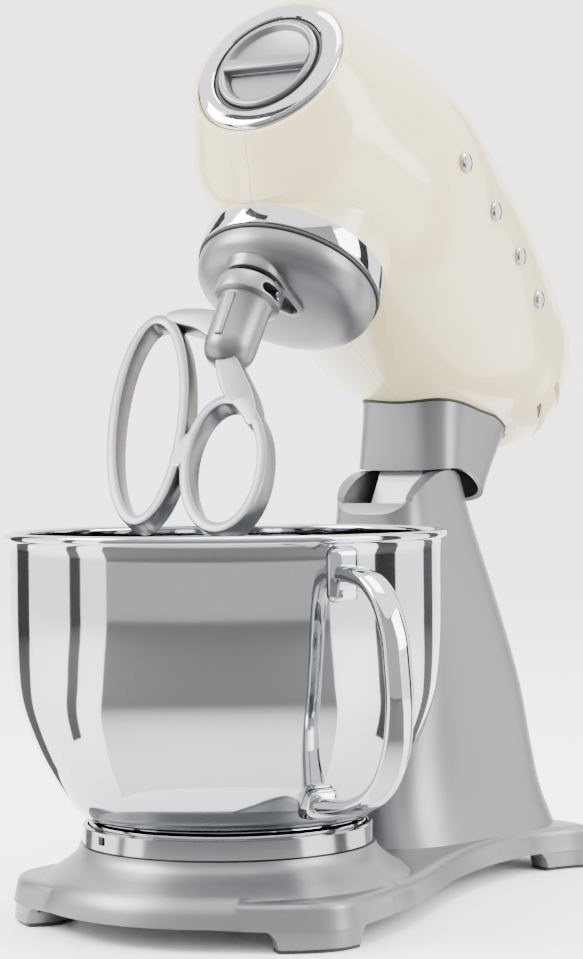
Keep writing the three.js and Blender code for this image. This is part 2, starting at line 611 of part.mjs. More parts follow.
// A teardrop outline round two circles.
function teardrop(x1, y1, r1, x2, y2, r2) {
  const heading = Math.atan2(y2 - y1, x2 - x1);
  const spread = Math.acos((r1 - r2) / Math.hypot(x2 - x1, y2 - y1));
  const shape = new THREE.Shape();
  shape.absarc(x1, y1, r1, heading + spread, heading + 2 * Math.PI - spread, false);
  shape.absarc(x2, y2, r2, heading - spread, heading + spread, false);
  return shape;
}
function planetCarrier() {
  const dome = [[0, -21], [30, -20.5], [40, -18.5], [46, -15.5], [50, -11.5], [51.5, -7], [51.5, -2]];
  const inside = [[48.5, -2], [48.5, -7], [44, -12], [36, -15.5], [24, -17.5], [9, -17.8]];
  const shaft = [[9, 34], [5, 34.6], [5, 83], [0, 83]];
  const tool = { x: 0, y: -TOOL_OFFSET };
  const boss = joined(slab(teardrop(0, -TOOL_OFFSET, 17, 10, -3, 7), -23, -15, 6), rod(14, -18, -1, tool));
  return without(
    joined(turned([...dome, ...inside, ...shaft], 24), boss),
    rod(SPINDLE_R + GAP, -30, 5, { ...tool, sides: 20 }),
    rod(11.2, -24, -15.5, { ...tool, sides: 16 }),
  );
}
add(head, "planet_carrier", planetCarrier(), satinSilver);
const bearing = (inner, outer, low, high, matrix) =>
  turned([[inner, low], [outer, low], [outer, high], [inner, high]], 18, matrix);
add(head, "carrier_bearing", bearing(9.3, 16, 13, 21.6), polishedSteel);
const carrierGear = gear(CARRIER_MODULE, CARRIER_TEETH, 24, 32);
add(head, "carrier_gear", without(carrierGear, rod(9.3, 20, 36, { sides: 24 })), plainSteel);

// A bevel gear with its apex at z = 0, its wide end at z = -wide.
function bevelGear(module, teeth, wide, narrow, phase) {
  const outline = gearOutline(module, teeth, { phase });
  const ring = (distance) => outline.map((p) =>
    new THREE.Vector3((p.x * distance) / wide, (p.y * distance) / wide, -distance));
  return skin([ring(wide), ring(narrow)]);
}
const hubBevel = bevelGear(2.333, BEVEL_TEETH, 14, 8.5, 0).transform(place(0, 0, HUB_Z).elements);
add(head, "hub_drive_bevel", without(hubBevel, rod(5.3, 60, 90, { sides: 20 })), plainSteel);
const shaftBevel = bevelGear(2.333, BEVEL_TEETH, 14, 8.5, Math.PI / BEVEL_TEETH)
  .transform(place(0, 0, HUB_Z, -90, 0, 0).elements);
const hubShaft = joined(shaftBevel, longRod(6, -63, -12, 0, HUB_Z, 24));
add(head, "hub_shaft", without(hubShaft, block(-3.2, 3.2, -70, -50, HUB_Z - 3.2, HUB_Z + 3.2)), plainSteel);

// ---- Idler, motor and electronics ----
const toothGap = Math.PI / PINION_TEETH;
const idler = joined(
  gear(CARRIER_MODULE, PINION_TEETH, 23, 34, { y: IDLER_Y, phase: toothGap }),
  gear(MOTOR_MODULE, IDLER_TEETH, 36, 43, { y: IDLER_Y }),
  rod(6, 33, 37, { y: IDLER_Y, sides: 16 }),
);
add(head, "idler_gear", without(idler, rod(4.3, 20, 50, { y: IDLER_Y, sides: 20 })), blackPlastic);
const motorPinion = gear(MOTOR_MODULE, PINION_TEETH, 35, 44.5, { y: MOTOR_Y, phase: toothGap });
add(head, "motor_pinion", without(motorPinion, rod(3.3, 30, 50, { y: MOTOR_Y, sides: 16 })), plainSteel);
const motorAt = place(0, MOTOR_Y, 0);
const armature = [
  [0, 34], [3, 34], [3, 46], [4, 46.4], [4, 58], [18, 60], [24, 64], [24, 98], [18, 101], [12, 102], [12, 112],
  [4, 113], [4, 139], [0, 139],
];
add(head, "motor_armature", turned(armature, 18, motorAt), copperWinding);
const fieldRing = [[24.6, 62], [36, 62], [36, 100], [24.6, 100]];
const fieldFoot = [[31, 52.4], [36, 52.4], [36, 64], [31, 64]];
const motorWindow = (low, high) => block(-50, 50, MOTOR_Y - 20, MOTOR_Y + 20, low, high);
const fieldLegs = without(turned(fieldFoot, 22, motorAt), motorWindow(50, 61));
add(head, "motor_field", joined(turned(fieldRing, 22, motorAt), fieldLegs), plainSteel);
const bracket = [[9.3, 117], [30, 117], [32.6, 112], [32.6, 100.4], [36, 100.4], [36, 114], [31, 121], [9.3, 121]];
add(head, "motor_bracket", without(turned(bracket, 22, motorAt), motorWindow(103, 112)), castAluminium);
add(head, "motor_bearing_bottom", bearing(4.3, 9, 47.6, 51.8, motorAt), polishedSteel);
add(head, "motor_bearing_top", bearing(4.3, 9, 117, 121, motorAt), polishedSteel);
const fanBlades = Array.from({ length: 9 }, (_, i) =>
  block(6, 26, -0.8, 0.8, 127, 135).transform(motorAt.clone().multiply(place(0, 0, 0, 0, 0, i * 40)).elements));
const fan = joined(turned([[4.3, 125.4], [27, 125.4], [27, 127.4], [8, 127.4], [8, 136], [4.3, 136]], 20, motorAt), ...fanBlades);
add(head, "cooling_fan", fan, blackPlastic);
const boardParts = joined(
  block(-28, 28, 122, 158, 26.4, 28),
  ...[-10, 12].map((x) => rod(5, 27.5, 44, { x, y: 148, sides: 12 })),
  block(-24, -12, 126, 138, 27.5, 40),
  block(-6, 20, 127, 134, 27.5, 36),
);
add(head, "control_board", boardParts, boardGreen);
const grilleSlots = Array.from({ length: 4 }, (_, i) => block(i * 24 - 46, i * 24 - 26, 190, 280, 43, 75));
const grilleSheet = headSkin(HEAD_WALL + 0.5).intersect(block(-52, 52, 205, 280, 37, 81));
add(head, "rear_grille", without(grilleSheet, headSkin(HEAD_WALL + 2.2), ...grilleSlots), blackPlastic);
const leverFoot = block(-7, 7, 62, 82, 140, 142);
const leverStem = joined(block(-3, 3, 64, 80, 140, 151), crossRod(4.5, -8, 8, 72, 154.3, 24));
add(head, "speed_lever", joined(leverStem, leverFoot), mirrorChrome);

// ---- Tool spindle, its spring and the flat beater ----
const toolAt = { x: 0, y: -TOOL_OFFSET };
const spindlePinHole = crossRod(2.8, -30, 30, -TOOL_OFFSET, PIN_Z, 16);
add(head, "tool_spindle", without(rod(SPINDLE_R, -66, 12, { ...toolAt, sides: 24 }), spindlePinHole), polishedSteel);
const planet = gear(GEAR_MODULE, PLANET_TEETH, 3, 10.6, { ...toolAt, phase: -Math.PI / 2 });
add(head, "planet_pinion", without(planet, rod(SPINDLE_R + GAP, 0, 14, { ...toolAt, sides: 20 })), plainSteel);
add(head, "cross_pin", crossRod(2.5, -20, 20, -TOOL_OFFSET, PIN_Z, 16), polishedSteel);
const turns = 3.5;
const helix = Array.from({ length: 43 }, (_, i) => {
  const angle = (i / 42) * turns * 2 * Math.PI;
  return new THREE.Vector3(8.4 * Math.cos(angle), 8.4 * Math.sin(angle) - TOOL_OFFSET, -17 - (i / 42) * 10.6);
});
const wire = new THREE.Shape();
for (let i = 0; i < 6; i += 1) {
  wire[i ? "lineTo" : "moveTo"](0.8 * Math.cos((i * Math.PI) / 3), 0.8 * Math.sin((i * Math.PI) / 3));
}
const coil = { extrudePath: new THREE.CatmullRomCurve3(helix), steps: 28, bevelEnabled: false };
add(head, "tool_spring", solid(new THREE.ExtrudeGeometry(wire, coil)), plainSteel);

// A flat piece of the beater, drawn in x and z and centred on the tool axis.
function beaterPiece(shape, curveSegments = 14) {
  const bevel = { bevelEnabled: true, bevelSize: 1.2, bevelThickness: 1.2, bevelOffset: -1.2, bevelSegments: 1 };
  const geometry = new THREE.ExtrudeGeometry(shape, { depth: BEATER_DEPTH - 2.4, curveSegments, ...bevel });
  const turn = new THREE.Matrix4().makeBasis(
    new THREE.Vector3(1, 0, 0),
    new THREE.Vector3(0, 0, 1),
    new THREE.Vector3(0, -1, 0),
  );
  return solid(geometry, place(0, -TOOL_OFFSET + BEATER_DEPTH / 2 - 1.2, 0).multiply(turn));
}
function beaterLoop(x, z, long, short, tilt) {
  const turn = THREE.MathUtils.degToRad(tilt);
  const shape = new THREE.Shape().absellipse(x, z, short, long, 0, 2 * Math.PI, false, turn);
  const hole = new THREE.Path();
  hole.absellipse(x, z, short - STRAP, long - STRAP, 0, 2 * Math.PI, true, turn);
  shape.holes.push(hole);
  return beaterPiece(shape);
}
const beaterBar = (points) => beaterPiece(new THREE.Shape(points.map(([x, z]) => new THREE.Vector2(x, z))));
function flatBeater() {
  const hub = turned([
    [0, -80], [7, -79], [12, -75.5], [14.5, -69], [14.5, -38], [18.7, -36], [18.7, -25], [17.8, -24], [12, -24],
    [12, -29], [0, -29],
  ], 22, place(0, -TOOL_OFFSET, 0));
  const arm = beaterBar([
    [-8, -46], [-22, -43.5], [-36, -42.5], [-48, -45.5], [-44, -51], [-34, -54], [-22, -57], [-8, -67],
  ]);
  const stem = beaterBar([
    [-5, -74], [6, -72], [18, -86], [31, -103], [38, -120], [33, -123], [24, -112], [10, -102], [2, -90],
  ]);
  const bridge = beaterBar([[-7, -126], [1, -126], [1, -148], [-7, -148]]);
  const largeLoop = beaterLoop(-33.5, -115, 71, 25, 16);
  const smallLoop = beaterLoop(25, -144.5, 45, 26, 20);
  const pinSlots = [0, -8, -17, -26].map((angle) =>
    block(-24, 24, -3.1, 3.1, PIN_Z - 3, PIN_Z + 3)
      .transform(place(0, -TOOL_OFFSET, 0, 0, 0, angle).elements));
  return without(
    joined(hub, arm, stem, bridge, largeLoop, smallLoop),
    rod(SPINDLE_R + GAP, -68, -20, { ...toolAt, sides: 24 }),
    ...pinSlots,
  );
}
add(head, "flat_beater", flatBeater(), satinSilver);

// ---- Origin: the centre of the footprint, on the table ----
const bounds = new THREE.Box3().setFromObject(mixer, true);
mixer.position.set(-(bounds.min.x + bounds.max.x) / 2, -(bounds.min.y + bounds.max.y) / 2, -bounds.min.z);

export default mixer;
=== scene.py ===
import json
import math

import bmesh
import bpy
from mathutils import Matrix, Vector


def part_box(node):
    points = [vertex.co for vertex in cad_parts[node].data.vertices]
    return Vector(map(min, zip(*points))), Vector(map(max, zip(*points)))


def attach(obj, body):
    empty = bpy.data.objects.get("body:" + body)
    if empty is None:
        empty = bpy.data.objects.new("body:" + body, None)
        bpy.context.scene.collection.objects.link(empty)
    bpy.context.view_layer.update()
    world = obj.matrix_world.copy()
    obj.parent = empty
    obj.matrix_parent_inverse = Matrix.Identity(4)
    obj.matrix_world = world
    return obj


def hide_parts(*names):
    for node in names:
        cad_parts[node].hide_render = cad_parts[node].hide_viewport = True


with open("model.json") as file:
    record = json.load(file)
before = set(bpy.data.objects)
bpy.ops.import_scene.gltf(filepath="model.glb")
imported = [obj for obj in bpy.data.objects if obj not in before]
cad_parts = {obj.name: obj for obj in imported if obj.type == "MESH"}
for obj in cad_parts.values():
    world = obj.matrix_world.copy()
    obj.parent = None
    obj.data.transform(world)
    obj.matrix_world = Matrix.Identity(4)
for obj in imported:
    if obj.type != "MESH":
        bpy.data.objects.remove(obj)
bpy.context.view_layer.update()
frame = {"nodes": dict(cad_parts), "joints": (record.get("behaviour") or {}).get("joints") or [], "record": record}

# ---- Camera, floor and light ----
# A plain pale sweep with large soft boxes, and a long lens at table height, a little to the mixer's left.
seat_low, seat_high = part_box("seat_plate")
bowl_axis = Vector(((seat_low.x + seat_high.x) / 2, (seat_low.y + seat_high.y) / 2, 0))
camera_data = bpy.data.cameras.new("camera")
camera_data.lens = 97.6
camera_data.sensor_width = 36
camera = bpy.data.objects.new("camera", camera_data)
bpy.context.scene.collection.objects.link(camera)
look = Vector((-0.5225, 0.8526, -0.0087)).normalized()
turn = look.to_track_quat("-Z", "Y").to_matrix().to_4x4() @ Matrix.Rotation(math.radians(-0.53), 4, "Z")
camera.matrix_world = Matrix.Translation(bowl_axis + Vector((0.7649, -1.179, 0.2489))) @ turn
bpy.context.scene.camera = camera

floor_mesh = bmesh.new()
bmesh.ops.create_grid(floor_mesh, x_segments=1, y_segments=1, size=6)
floor_data = bpy.data.meshes.new("floor")
floor_mesh.to_mesh(floor_data)
floor_mesh.free()
floor = bpy.data.objects.new("floor", floor_data)
floor.location.z = -0.0002
bpy.context.scene.collection.objects.link(floor)
floor_paint = bpy.data.materials.new("floor_paint")
floor_paint.use_nodes = True
floor_paint.node_tree.nodes["Principled BSDF"].inputs["Base Color"].default_value = (0.97, 0.97, 0.97, 1)
floor_paint.node_tree.nodes["Principled BSDF"].inputs["Roughness"].default_value = 0.5
floor_data.materials.append(floor_paint)

world = bpy.data.worlds.new("studio")
bpy.context.scene.world = world
world.use_nodes = True
world.node_tree.nodes["Background"].inputs["Color"].default_value = (1, 1, 1, 1)
world.node_tree.nodes["Background"].inputs["Strength"].default_value = 3.6
for name, at, aim, size, power in (
    ("key_box", (-1.3, -1.1, 1.5), (0, 0, 0.3), 1.0, 90),
    ("side_box", (1.6, 0.3, 0.9), (0, 0, 0.2), 0.9, 34),
    ("top_box", (0.1, 0.2, 2.0), (0, 0, 0.2), 1.2, 60),
):
    light_data = bpy.data.lights.new(name, "AREA")
    light_data.size = size
    light_data.energy = power
    light = bpy.data.objects.new(name, light_data)
    bpy.context.scene.collection.objects.link(light)
    spot = Vector(at)
    swing = (Vector(aim) - spot).to_track_quat("-Z", "Y").to_matrix().to_4x4()
    light.matrix_world = Matrix.Translation(spot) @ swing
# A grey wall behind the camera and dark cards beside it, seen only in the reflections on the polished metal.
def paper(name, shade, mesh):
    paint = bpy.data.materials.new(name)
    paint.use_nodes = True
    shader = paint.node_tree.nodes["Principled BSDF"]
    shader.inputs["Base Color"].default_value = (shade, shade, shade * 1.03, 1)
    shader.inputs["Roughness"].default_value = 0.9
    data = bpy.data.meshes.new(name)
    mesh.to_mesh(data)
    mesh.free()
    data.materials.append(paint)
    card = bpy.data.objects.new(name, data)
    bpy.context.scene.collection.objects.link(card)
    card.visible_camera = False
    card.visible_shadow = False
    card.visible_diffuse = False


# A card on the floor in front of the set, seen only in reflections, carries painted shade that darkens away from
# the bowl, so the bowl's belly picks up a soft grey.
shade_mesh = bmesh.new()
inner, outer_edge = [], []
facing = math.degrees(math.atan2(-0.8526, 0.5225))
above_floor = Vector((0, 0, 0.0004))
for i in range(33):
    angle = math.radians(facing) + math.radians(-62 + 118 * i / 32)
    ray = Vector((math.cos(angle), math.sin(angle), 0))
    inner.append(shade_mesh.verts.new(bowl_axis + ray * 0.13 + above_floor))
    outer_edge.append(shade_mesh.verts.new(bowl_axis + ray * 2.6 + above_floor))
for i in range(32):
    shade_mesh.faces.new((inner[i], outer_edge[i], outer_edge[i + 1], inner[i + 1]))
shade_data = bpy.data.meshes.new("floor_shade")
shade_mesh.to_mesh(shade_data)
shade_mesh.free()
shade_paint = bpy.data.materials.new("floor_shade")
shade_paint.use_nodes = True
nodes, links = shade_paint.node_tree.nodes, shade_paint.node_tree.links
place = nodes.new("ShaderNodeTexCoord")
reach_node = nodes.new("ShaderNodeVectorMath")
reach_node.operation = "DISTANCE"
reach_node.inputs[1].default_value = bowl_axis
links.new(place.outputs["Object"], reach_node.inputs[0])
# Painted shade: the card's colour falls from 0.7 near the bowl to 0.06 far from it.
fade = nodes.new("ShaderNodeMapRange")
fade.interpolation_type = "SMOOTHSTEP"
fade.inputs["From Min"].default_value = 0.12
fade.inputs["From Max"].default_value = 0.4
fade.inputs["To Min"].default_value = 0.7
fade.inputs["To Max"].default_value = 0.06
links.new(reach_node.outputs["Value"], fade.inputs["Value"])
links.new(fade.outputs["Result"], nodes["Principled BSDF"].inputs["Base Color"])
nodes["Principled BSDF"].inputs["Roughness"].default_value = 0.9
shade_data.materials.append(shade_paint)
floor_shade = bpy.data.objects.new("floor_shade", shade_data)
bpy.context.scene.collection.objects.link(floor_shade)
floor_shade.visible_camera = False
floor_shade.visible_diffuse = False
floor_shade.visible_shadow = False

card_low = 0.0008
for name, shade, first, last, low, high, reach in (
    ("wall_grey", 0.22, -62, 56, 0.0, 2.4, 2.6),
    ("card_left", 0.01, -140, -122, 0.0, 1.5, 1.9),
    ("card_near_left", 0.02, -86, -78, 0.0, 1.5, 2.3),
    ("card_right", 0.01, 84, 100, 0.0, 1.5, 2.2),
    ("card_far_right", 0.03, 128, 142, 0.0, 1.5, 2.2),
    ("card_overhead", 0.01, -95, -45, 1.5, 1.8, 1.1),
):
    arc = bmesh.new()
    columns = []
    for i in range(25):
        angle = math.radians(facing + first + (last - first) * i / 24)
        ray = Vector((math.cos(angle), math.sin(angle), 0))
        spot, near = bowl_axis + ray * reach, bowl_axis + ray * 0.24
        corners = ((near.x, near.y, card_low), (spot.x, spot.y, max(low, card_low)), (spot.x, spot.y, high))
        columns.append([arc.verts.new(corner) for corner in corners])
    for one, two in zip(columns, columns[1:]):
        arc.faces.new((one[1], two[1], two[2], one[2]))
        if low == 0.0 and name != "wall_grey":
            arc.faces.new((one[0], two[0], two[1], one[1]))
    bmesh.ops.delete(arc, geom=[vert for vert in arc.verts if not vert.link_faces], context="VERTS")
    paper(name, shade, arc)


# ---- Finishes ----
# Enamel, satin coating, polish, cast and turned metal, rubber and plastic, each with its own fine grain.
def finish(name, color, roughness, metallic=0.0, coat=0.0, grain=900.0, bump=0.02, spread=0.05, tone=0.04,
           stretch=(1, 1, 1)):
    material = bpy.data.materials.new(name)
    material.use_nodes = True
    nodes, links = material.node_tree.nodes, material.node_tree.links
    shader = nodes["Principled BSDF"]
    shader.inputs["Metallic"].default_value = metallic
    shader.inputs["Coat Weight"].default_value = coat
    shader.inputs["Coat Roughness"].default_value = 0.04
    place = nodes.new("ShaderNodeTexCoord")
    mapping = nodes.new("ShaderNodeMapping")
    mapping.inputs["Scale"].default_value = stretch
    links.new(place.outputs["Object"], mapping.inputs["Vector"])
    fine = nodes.new("ShaderNodeTexNoise")
    fine.inputs["Scale"].default_value = grain
    fine.inputs["Detail"].default_value = 4
    links.new(mapping.outputs["Vector"], fine.inputs["Vector"])
    cloud = nodes.new("ShaderNodeTexNoise")
    cloud.inputs["Scale"].default_value = 14
    cloud.inputs["Detail"].default_value = 3
    links.new(place.outputs["Object"], cloud.inputs["Vector"])
    gloss = nodes.new("ShaderNodeMapRange")
    gloss.inputs["To Min"].default_value = max(roughness - spread, 0.01)
    gloss.inputs["To Max"].default_value = roughness + spread
    links.new(fine.outputs["Fac"], gloss.inputs["Value"])
    links.new(gloss.outputs["Result"], shader.inputs["Roughness"])
    shade = nodes.new("ShaderNodeMix")
    shade.data_type = "RGBA"
    shade.inputs[6].default_value = tuple(c * (1 - tone) for c in color) + (1,)
    shade.inputs[7].default_value = tuple(min(c * (1 + tone), 1) for c in color) + (1,)
    links.new(cloud.outputs["Fac"], shade.inputs[0])
    links.new(shade.outputs[2], shader.inputs["Base Color"])
    relief = nodes.new("ShaderNodeBump")
    relief.inputs["Strength"].default_value = bump
    relief.inputs["Distance"].default_value = 0.0004
    links.new(fine.outputs["Fac"], relief.inputs["Height"])
    links.new(relief.outputs["Normal"], shader.inputs["Normal"])
    return material


finishes = {
    "cream_paint": finish("cream_enamel", (0.56, 0.478, 0.265),
        0.24, coat=0.6, grain=260, bump=0.03, tone=0.012),
    "satin_silver": finish("satin_silver_coat", (0.17, 0.173, 0.18),
        0.36, metallic=0.88, grain=2600, bump=0.1, tone=0.02),
    "mirror_chrome": finish("mirror_polish", (0.46, 0.47, 0.485),
        0.05, metallic=1, grain=1500, bump=0.004, spread=0.02, tone=0.01),
    "cast_aluminium": finish("cast_alloy", (0.5, 0.51, 0.52), 0.55, metallic=0.9, grain=700, bump=0.4),
    "polished_steel": finish("polished_steel", (0.3, 0.305, 0.32),
        0.14, metallic=1, grain=1200, bump=0.01, spread=0.03),
    "plain_steel": finish("turned_steel", (0.42, 0.43, 0.45),
        0.32, metallic=1, grain=500, bump=0.08, stretch=(1, 1, 6)),
    "black_rubber": finish("black_rubber", (0.012, 0.012, 0.013), 0.6, grain=1800, bump=0.3),
    "black_plastic": finish("black_plastic", (0.018, 0.018, 0.02), 0.42, grain=1400, bump=0.25),
    "bronze": finish("sintered_bronze", (0.42, 0.25, 0.1), 0.4, metallic=0.9, grain=2200, bump=0.3),
    "copper_winding": finish("varnished_winding", (0.4, 0.16, 0.06),
        0.35, metallic=0.7, grain=400, bump=0.5, stretch=(6, 6, 1)),
    "board_green": finish("circuit_board", (0.02, 0.13, 0.07), 0.4, grain=900, bump=0.15),
}
slot_of = {entry["node"]: entry["material_slot"] for entry in frame["record"]["subparts"]}
for node, piece in frame["nodes"].items():
    piece.data.materials.clear()
    piece.data.materials.append(finishes[slot_of[node]])


# ---- Bowl: pressed and polished steel with a rolled rim ----
# The wall is spun from one sheet; the foot ring under it drops into the seat, and the handle is welded on.
MM = Matrix.Scale(0.001, 4)
stand_place = Matrix.Translation(bowl_axis) @ MM


def keep(mesh, name, place, body, replaced, slot, sharp=32):
    bmesh.ops.transform(mesh, matrix=place, verts=mesh.verts)
    bmesh.ops.remove_doubles(mesh, verts=mesh.verts, dist=1e-6)
    bmesh.ops.recalc_face_normals(mesh, faces=mesh.faces)
    for face in mesh.faces:
        face.smooth = True
    for edge in mesh.edges:
        edge.smooth = len(edge.link_faces) == 2 and edge.calc_face_angle() < math.radians(sharp)
    data = bpy.data.meshes.new(name)
    mesh.to_mesh(data)
    mesh.free()
    piece = bpy.data.objects.new(name, data)
    bpy.context.scene.collection.objects.link(piece)
    if body:
        data.materials.append(finishes[slot])
        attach(piece, body)
        for node in replaced:
            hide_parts(node)
    return piece


def spun(profile, steps=96, closed=True):
    mesh = bmesh.new()
    points = [mesh.verts.new((r, 0, z)) for r, z in profile]
    edges = [mesh.edges.new(pair) for pair in zip(points, points[1:])]
    if closed:
        edges.append(mesh.edges.new((points[-1], points[0])))
    bmesh.ops.spin(mesh, geom=points + edges, cent=(0, 0, 0), axis=(0, 0, 1), angle=2 * math.pi, steps=steps,
                   use_merge=True)
    bmesh.ops.remove_doubles(mesh, verts=mesh.verts, dist=1e-4)
    return mesh


def along(stations, position):
    at = min(max(position, stations[0][0]), stations[-1][0])
    k = 0
    while k + 2 < len(stations) and at > stations[k + 1][0]:
        k += 1

    def slope(i):
        a, b = stations[max(i - 1, 0)], stations[min(i + 1, len(stations) - 1)]
        return (b[1] - a[1]) / (b[0] - a[0])

    (x0, y0), (x1, y1) = stations[k], stations[k + 1]
    t, step = (at - x0) / (x1 - x0), x1 - x0
    return (y0 * (2 * t**3 - 3 * t**2 + 1) + slope(k) * step * (t**3 - 2 * t**2 + t)
            + y1 * (3 * t**2 - 2 * t**3) + slope(k + 1) * step * (t**3 - t**2))


bowl_side = [(54.6, 73), (57, 77.5), (65, 85.3), (75.3, 92.2), (89, 100.2), (105.4, 107.5), (120, 112.4),
             (133, 114.6), (155, 116), (200, 116.2), (204.6, 116.9)]
outside = [(along(bowl_side, 54.6 + i * 3), 54.6 + i * 3) for i in range(51)]
bead_r = 2.4
bead_angles = [math.radians(-95 + 22 * i) for i in range(14)]
bead = [(117.4 + bead_r * math.cos(a), 207.4 + bead_r * math.sin(a)) for a in bead_angles]
inside = [(r - 1.1, z + (0.9 if z < 90 else 0.2)) for r, z in reversed(outside[1:])]
keep(spun([(0, 54.6), (40, 54.6)] + outside + bead + inside + [(40, 55.7), (0, 55.7)], 144, False),
     "bowl_wall", stand_place, "bowl", ["bowl_shell"], "mirror_chrome")
keep(spun([(67, 49.2), (74.2, 49.2), (74.8, 49.8), (74.8, 53.6), (74.2, 54.3), (67, 54.3)], 128),
     "bowl_foot_ring", stand_place, "bowl", ["bowl_foot"], "mirror_chrome")


# The handle: an oval bar bent to a D, with a rounded pad at each end that follows the bowl's side.
def cut(piece, tool, operation="DIFFERENCE"):
    modifier = piece.modifiers.new("cut", "BOOLEAN")
    modifier.operation = operation
    modifier.solver = "MANIFOLD"
    modifier.object = tool
    if not tool.users_collection:
        bpy.context.scene.collection.objects.link(tool)
    bpy.context.view_layer.update()
    result = bpy.data.meshes.new_from_object(piece.evaluated_get(bpy.context.evaluated_depsgraph_get()))
    piece.modifiers.clear()
    old = piece.data
    piece.data = result
    bpy.data.meshes.remove(old)
    bpy.data.objects.remove(tool)
    return piece


def rough(mesh, name="tool"):
    return keep(mesh, name, Matrix.Identity(4), None, [], None)


def finished(piece, name, place, body, replaced, slot, sharp=32):
    mesh = bmesh.new()
    mesh.from_mesh(piece.data)
    bpy.data.objects.remove(piece)
    return keep(mesh, name, place, body, replaced, slot, sharp)


def cube(low, high, rounding=0.0):
    mesh = bmesh.new()
    bmesh.ops.create_cube(mesh, size=1)
    bmesh.ops.scale(mesh, vec=[b - a for a, b in zip(low, high)], verts=mesh.verts)
    bmesh.ops.translate(mesh, vec=[(a + b) / 2 for a, b in zip(low, high)], verts=mesh.verts)
    if rounding:
        bmesh.ops.bevel(mesh, geom=mesh.edges[:], offset=rounding, affect="EDGES", segments=4, profile=0.5,
                        material=-1)
    return mesh


handle_line = [(117, 190), (130, 189.5), (147, 183.5), (159, 168), (164.5, 145), (165.5, 122), (160, 100),
               (148, 84), (130, 75), (108, 71.5), (94, 71)]
handle_curve = bpy.data.curves.new("handle_line", "CURVE")
handle_curve.dimensions = "3D"
spline = handle_curve.splines.new("BEZIER")
spline.bezier_points.add(len(handle_line) - 1)
for point, (r, z) in zip(spline.bezier_points, handle_line):
    point.co = (0, -r, z)
    point.handle_left_type = point.handle_right_type = "AUTO"
spline.resolution_u = 10
oval_curve = bpy.data.curves.new("handle_section", "CURVE")
oval_curve.dimensions = "2D"
oval = oval_curve.splines.new("POLY")
oval.points.add(27)
for i, point in enumerate(oval.points):
    angle = 2 * math.pi * i / 28
    point.co = (7.5 * math.copysign(abs(math.cos(angle)) ** 0.8, math.cos(angle)),
                4.5 * math.copysign(abs(math.sin(angle)) ** 0.8, math.sin(angle)), 0, 1)
oval.use_cyclic_u = True
oval_piece = bpy.data.objects.new("handle_section", oval_curve)
line_piece = bpy.data.objects.new("handle_line", handle_curve)
handle_curve.bevel_mode = "OBJECT"
handle_curve.bevel_object = oval_piece
handle_curve.use_fill_caps = True
bpy.context.scene.collection.objects.link(oval_piece)
bpy.context.scene.collection.objects.link(line_piece)
bpy.context.view_layer.update()
handle_mesh = bmesh.new()
bent = line_piece.evaluated_get(bpy.context.evaluated_depsgraph_get())
handle_mesh.from_mesh(bpy.data.meshes.new_from_object(bent))
bpy.data.objects.remove(line_piece)
bpy.data.objects.remove(oval_piece)
bmesh.ops.remove_doubles(handle_mesh, verts=handle_mesh.verts, dist=0.01)
handle = rough(handle_mesh, "handle")
cut(handle, rough(cube((-9.4, -120, 175.3), (9.4, -108, 203.8), 4.5)), "UNION")
cut(handle, rough(cube((-9.2, -99, 63.5), (9.2, -78, 79.8), 4.5)), "UNION")
wall_clear = [(along(bowl_side, 50 + i * 4) + 0.4, 50 + i * 4 - 0.2) for i in range(40)]
cut(handle, rough(spun([(0, 50)] + wall_clear + [(0, 206)], 96, False)))
handle_place = stand_place @ Matrix.Rotation(math.radians(63.5), 4, "Z")
finished(handle, "bowl_handle_bar", handle_place, "bowl", ["bowl_handle"], "mirror_chrome", 50)

# ---- Bowl seat: a polished cup with a small lug window ----
# It is screwed to the casting, and the bowl's foot drops into it.
seat = rough(spun([(18, 42.3), (77.9, 42.3), (78.3, 42.8), (78.3, 52.2), (77.6, 53), (76.2, 53), (75.7, 52.5),
                   (75.7, 44.8), (18, 44.8)], 128), "seat")
window = cube((-3.5, -84, 46), (3.5, -70, 50.5), 0.8)
bmesh.ops.rotate(window, matrix=Matrix.Rotation(math.radians(-25), 3, "Z"), verts=window.verts)
cut(seat, rough(window))
finished(seat, "bowl_seat", stand_place, "stand", ["seat_plate"], "polished_steel")


# ---- Stand: one hollow aluminium casting with a satin silver coating ----
# A flat base on four corner feet rises into a waisted column that ends in a fork for the head's hinge.
def loft(rings):
    mesh = bmesh.new()
    loops = []
    for ring in rings:
        verts = [mesh.verts.new(p) for p in ring]
        loops.append([mesh.edges.new((a, b)) for a, b in zip(verts, verts[1:] + verts[:1])])
    mesh.faces.new([e.verts[0] for e in loops[0]])
    mesh.faces.new([e.verts[0] for e in loops[-1]])
    for low, high in zip(loops, loops[1:]):
        bmesh.ops.bridge_loops(mesh, edges=low + high)
    bmesh.ops.recalc_face_normals(mesh, faces=mesh.faces)
    return mesh


def rod(r, start, end, sides=48, top=None):
    mesh = bmesh.new()
    start, end = Vector(start), Vector(end)
    length = (end - start).length
    bmesh.ops.create_cone(mesh, cap_ends=True, segments=sides, radius1=r, radius2=r if top is None else top,
                          depth=length)
    swing = (end - start).to_track_quat("Z", "Y").to_matrix().to_4x4()
    bmesh.ops.transform(mesh, matrix=Matrix.Translation((start + end) / 2) @ swing, verts=mesh.verts)
    return mesh


half_outline = [(0, -93), (40, -89), (75, -79), (98, -62), (106, -44), (105, -12), (101, 24), (93, 60),
                (84, 95), (77, 135), (75, 175), (79, 210), (90, 236), (99, 250), (84, 264), (45, 274)]
whole_outline = half_outline + [(0, 276.6)] + [(-x, y) for x, y in reversed(half_outline[1:])]


